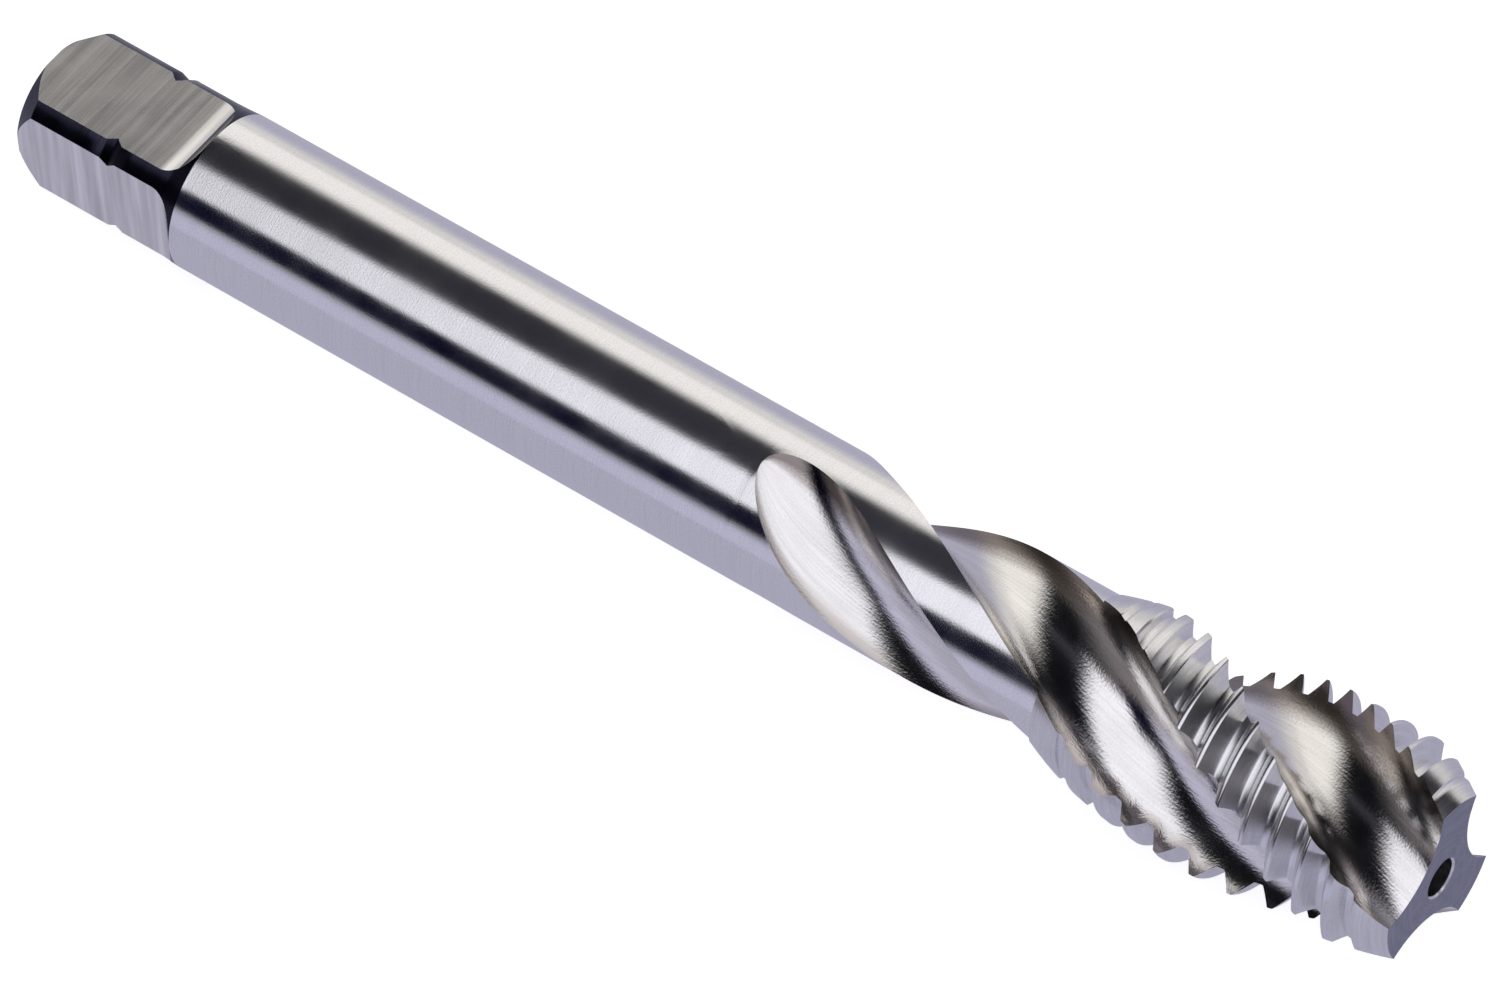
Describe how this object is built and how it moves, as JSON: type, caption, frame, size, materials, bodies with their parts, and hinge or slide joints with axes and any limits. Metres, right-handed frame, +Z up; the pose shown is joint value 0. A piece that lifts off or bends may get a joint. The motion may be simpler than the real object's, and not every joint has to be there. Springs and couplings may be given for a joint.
{
  "type": "thread tap",
  "caption": "Machine tap with spiral flutes, a tapered entry thread, a reduced round shank and a square drive end.",
  "frame": {"origin": "bottom centre of the bounding box: on the floor, under the middle of the tap's length and width", "axes": "+X towards the tap's point along its length; +Z up from the floor; the tap's own axis rises 1.21 degrees towards the point, because it lies on the shank's shoulder and on a crest of the thicker thread, 6.2 mm from the point"},
  "size_m": [0.0882, 0.012, 0.0119],
  "materials": {
    "steel": "bright ground tool steel, fine grinding grain"
  },
  "bodies": {
    "root": {"tap_body": "steel"}
  },
  "joints": []
}
